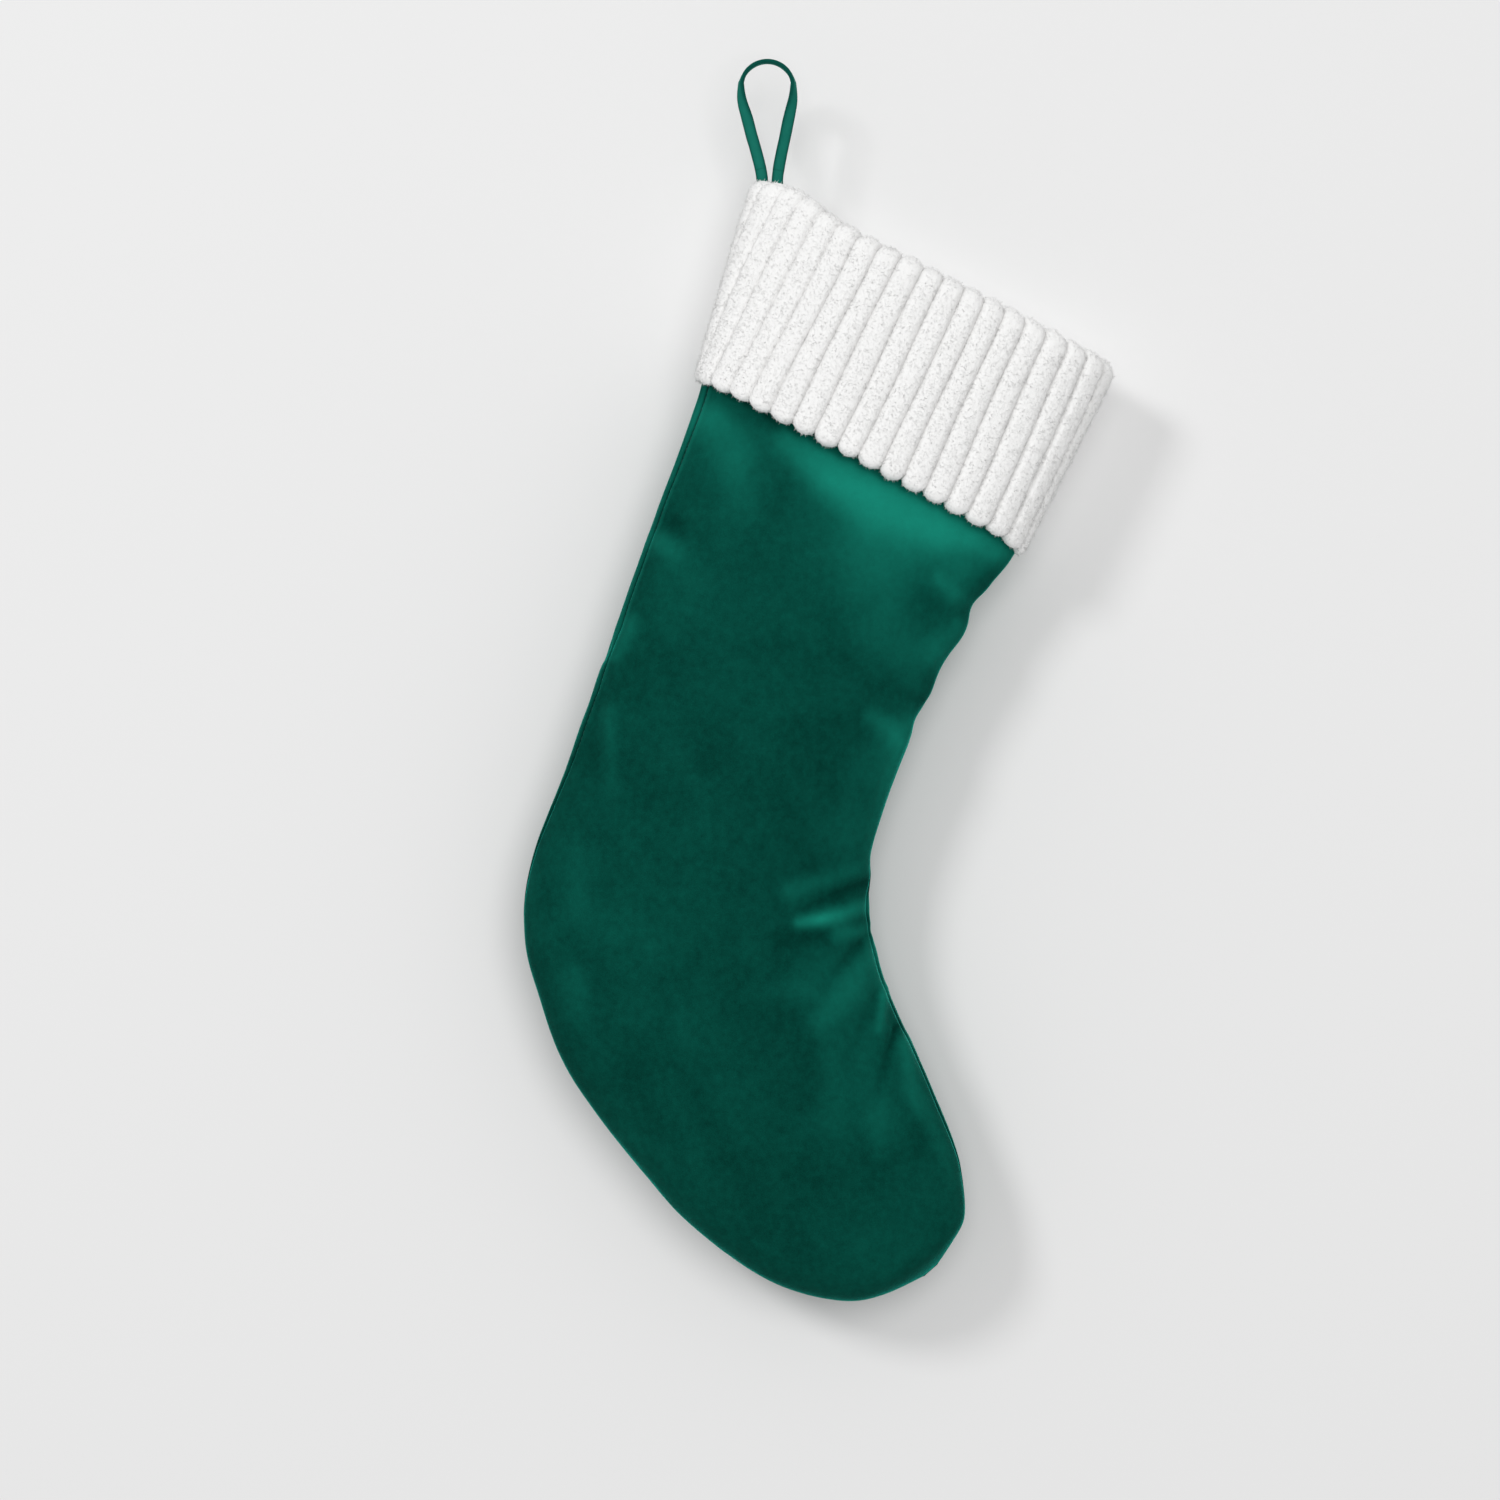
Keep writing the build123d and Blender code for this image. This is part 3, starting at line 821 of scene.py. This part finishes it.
def make_cuff_pieces():
    """The cuff's front and back halves. Gives back the grid of its whole surface."""
    grid = shape_cuff(ribbed_band())
    rows, cols = grid.shape[:2]
    half = cols // 2
    phase = (np.arange(cols) / PER_RIB) % 1.0
    # painted shade in the grooves between the ribs, less towards the heel side
    painted_groove_shade = np.clip(np.abs(2 * phase - 1) * 4 - 3, 0, 1) * (1 - 0.7 * heel_side(np.arange(cols) / PER_RIB))
    for name, take, nodes in (
        ("cuff_plush_front", np.arange(half + 1), ("cuff_front", "facing_front", "cuff_seam_thread")),
        ("cuff_plush_back", np.arange(half, cols + 1) % cols, ("cuff_back", "facing_back")),
    ):
        part = grid[:, take]
        count = part.shape[1]
        faces = [tuple(i % (rows * count) for i in f) for f in grid_faces(rows + 1, count)]
        faces.append(tuple(r * count for r in range(rows)))
        faces.append(tuple(r * count + count - 1 for r in range(rows - 1, -1, -1)))
        obj = recalculated(object_from(name, part.reshape(-1, 3), faces))
        float_attribute(obj, "painted_groove_shade", np.tile(painted_groove_shade[take], rows))
        obj.data.materials.append(plush)
        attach(obj, "stocking")
        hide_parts(*nodes)
    return grid


def make_pile(grid):
    """Loose tufts that stand out of the plush, each a thin closed spike, to soften its ribs and edges."""
    rows, cols = grid.shape[:2]
    normals = normals_of(grid, 1.0)
    middle = section(*CUFF_TOP[:4])[0]
    probe = (rows // 2, cols // 4)
    if np.dot(normals[probe], grid[probe] - middle) < 0:
        normals = -normals
    r = rng.integers(0, rows - 1, TUFTS)
    c = rng.integers(0, cols - 1, TUFTS)
    a, b = rng.random((2, TUFTS, 1))
    foot = grid[r, c] * (1 - a) * (1 - b) + grid[r + 1, c] * a * (1 - b)
    foot += grid[r, c + 1] * (1 - a) * b + grid[r + 1, c + 1] * a * b
    normal = normals[r, c]
    way = unit(normal + rng.normal(0, 0.6, (TUFTS, 3)))
    side = unit(np.cross(way, rng.normal(0, 1, (TUFTS, 3))))
    other = np.cross(way, side)
    length = rng.uniform(*TUFT_LENGTH, (TUFTS, 1))
    thick = TUFT_THICK * rng.uniform(0.7, 1.2, (TUFTS, 1))
    foot = foot - normal * TUFT_ROOT
    corners = [foot + thick * (math.cos(t) * side + math.sin(t) * other) for t in np.radians((90, 210, 330))]
    points = np.stack([*corners, foot + way * (length + TUFT_ROOT)], 1).reshape(-1, 3)
    sides = ((0, 2, 1), (0, 1, 3), (1, 2, 3), (2, 0, 3))
    faces = [(4 * k + i, 4 * k + j, 4 * k + m) for k in range(TUFTS) for i, j, m in sides]
    obj = object_from("cuff_pile", points, faces)
    obj.data.materials.append(plush)
    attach(obj, "stocking")


def make_strap():
    """The strap's loop, its sewn ends and the stitches that tack them down."""
    left, right = strand_line(STRAND_X[0], -1), strand_line(STRAND_X[1], 1)
    turned = left[::-1] * np.array([1, 1, -1])
    whole = np.concatenate([turned, right[1:]])
    above = np.abs(np.arange(len(whole)) - len(left) + 1) <= np.argmax(left[:, 1] < SPLIT_Z - 0.5)
    points, faces = strap_mesh(whole[above])
    loop = recalculated(object_from("strap_loop", points, faces))
    ends = [strap_mesh(line[np.argmax(line[:, 1] < SPLIT_Z + 0.6):], 0.04) for line in (left, right)]
    tails = recalculated(joined("strap_ends", ends))
    # each piece, with two bodies and two heights in metres that the loop below does not use
    bends = ((loop, ("loop", "neck"), -0.0352, -0.0408), (tails, ("neck", "stocking"), -0.0435, -0.0495))
    for obj, bodies, z0, z1 in bends:
        round_it = 2 * math.pi * np.arange(len(obj.data.vertices)) / STRAP_SIDES
        # painted light: each face of the strap lighter along its middle and darker towards its rounded edges
        float_attribute(obj, "nap_and_painted_light", 0.06 + 0.40 * np.abs(np.sin(round_it)) ** 4)
        obj.data.materials.append(strap_velvet)
        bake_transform(obj)
    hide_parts("hanging_loop")
    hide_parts("loop_neck", "loop_tails")
    tack = []
    for z in TACK_Z:
        x = np.linspace(STRAND_X[0] - 3.2, STRAND_X[1] + 3.2, 40)
        tack.append(np.stack([x, -1.3 + 0 * x, z + 0 * x], 1))
    obj = make_stitches("strap_tack", tack, 2.4, 2.0, 0.3)
    obj.data.materials.append(thread)
    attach(obj, "stocking")
    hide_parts("loop_tack_thread")


velvet = velvet_material("velvet", (0.0002, 0.030, 0.0215), (0.010, 0.30, 0.215), 0.6, (0.02, 0.85, 0.66))
strap_velvet = velvet_material(
    "velvet_strap", (0.002, 0.058, 0.043), (0.018, 0.25, 0.185), 0.16, (0.15, 1.0, 0.8))
plush = plush_material()
lining = woven_material("lining", (0.004, 0.085, 0.062), 900.0)
thread = woven_material("thread", (0.003, 0.05, 0.038), 1500.0)

seam = make_velvet()
stitches = make_stitches("seam_stitches", [seam[6:, 0], seam[6:, 1]], 3.2, 2.6, 0.28)
stitches.data.materials.append(thread)
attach(stitches, "stocking")
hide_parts("shell_seam_thread")
make_lining()
make_pile(make_cuff_pieces())
make_strap()


# --------------------------------------------------------------------------------------------------
# Wall, light and camera

WALL_Y = 46.0
WALL_REACH = 7000.0


def make_wall():
    """A plain pale wall just behind the stocking, which shows only from the front."""
    around = ((-1, -1), (1, -1), (1, 1), (-1, 1))
    corners = [(x * WALL_REACH, WALL_Y, z * WALL_REACH) for x, z in around]
    obj = object_from("wall", corners, [(0, 1, 2, 3)])
    look = Look("wall")
    look.set(Base_Color=(0.775, 0.775, 0.775, 1), Roughness=0.9, Specular_IOR_Level=0.0)
    clear, mix = look.add("ShaderNodeBsdfTransparent"), look.add("ShaderNodeMixShader")
    side = look.add("ShaderNodeNewGeometry")
    look.link(side.outputs["Backfacing"], mix.inputs[0])
    look.link(look.shader.outputs[0], mix.inputs[1])
    look.link(clear.outputs[0], mix.inputs[2])
    look.link(mix.outputs[0], look.output.inputs[0])
    obj.data.materials.append(look.material)
    obj.visible_shadow = False


def area_light(name, where, at, size, power):
    """A round light of that size in metres and power in watts, turned to a place."""
    data = bpy.data.lights.new(name, "AREA")
    data.shape, data.size, data.energy = "DISK", size, power
    obj = bpy.data.objects.new(name, data)
    obj.location = where
    obj.rotation_euler = (Vector(at) - Vector(where)).to_track_quat("-Z", "Y").to_euler()
    bpy.context.scene.collection.objects.link(obj)


make_wall()
area_light("key", (-2.8, -3.8, 1.9), (0, 0, -0.3), 1.3, 81.0)
area_light("soft_front", (0.5, -4.4, 0.2), (0, 0, -0.35), 3.0, 92.0)
area_light("soft_back", (1.2, 3.6, 1.0), (0, 0, -0.3), 2.6, 70.0)

world = bpy.data.worlds.new("studio")
world.use_nodes = True
world.node_tree.nodes["Background"].inputs[0].default_value = (1.0, 1.0, 1.0, 1)
world.node_tree.nodes["Background"].inputs[1].default_value = 0.44
scene = bpy.context.scene
scene.world = world
scene.view_settings.view_transform = "Standard"

VIEW_DISTANCE, VIEW_WIDTH = 2.25, 0.784
camera = bpy.data.objects.new("camera", bpy.data.cameras.new("camera"))
camera.location = (-0.009, -VIEW_DISTANCE, -0.346)
camera.rotation_euler = (math.pi / 2, 0, 0)
camera.data.sensor_width = 36.0
camera.data.lens = 36.0 * VIEW_DISTANCE / VIEW_WIDTH
scene.collection.objects.link(camera)
scene.camera = camera
